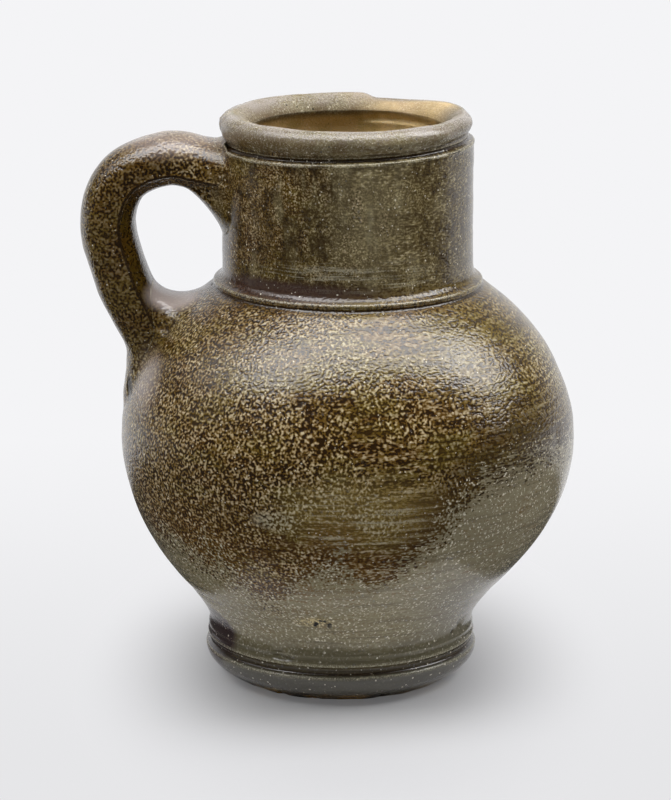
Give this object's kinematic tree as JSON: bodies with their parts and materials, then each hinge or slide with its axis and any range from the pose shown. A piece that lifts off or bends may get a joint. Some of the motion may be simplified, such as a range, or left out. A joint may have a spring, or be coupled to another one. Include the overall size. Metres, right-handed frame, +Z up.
{
  "type": "stoneware jug",
  "caption": "Round-bellied salt-glazed stoneware jug with a tall cylindrical neck, rolled rim, ringed foot and pulled strap handle, for holding and pouring drink.",
  "frame": {"origin": "on the axis of the neck and belly, on the plane that the foot stands on", "axes": "+Z up along the axis, the handle in the plane y = 0 on the -X side, -Y towards the viewer of the picture"},
  "size_m": [0.1416, 0.1306, 0.165],
  "materials": {
    "salt_glaze_body": "brown and olive mottled salt glaze over grey stoneware, satin gloss",
    "salt_glaze_handle": "dark brown mottled salt glaze, satin gloss",
    "salt_glaze_luting": "smooth purple-brown salt glaze, satin gloss"
  },
  "bodies": {
    "root": {"thrown_body": "salt_glaze_body", "handle": "salt_glaze_handle", "upper_handle_luting": "salt_glaze_luting", "lower_handle_luting": "salt_glaze_luting"}
  },
  "joints": []
}
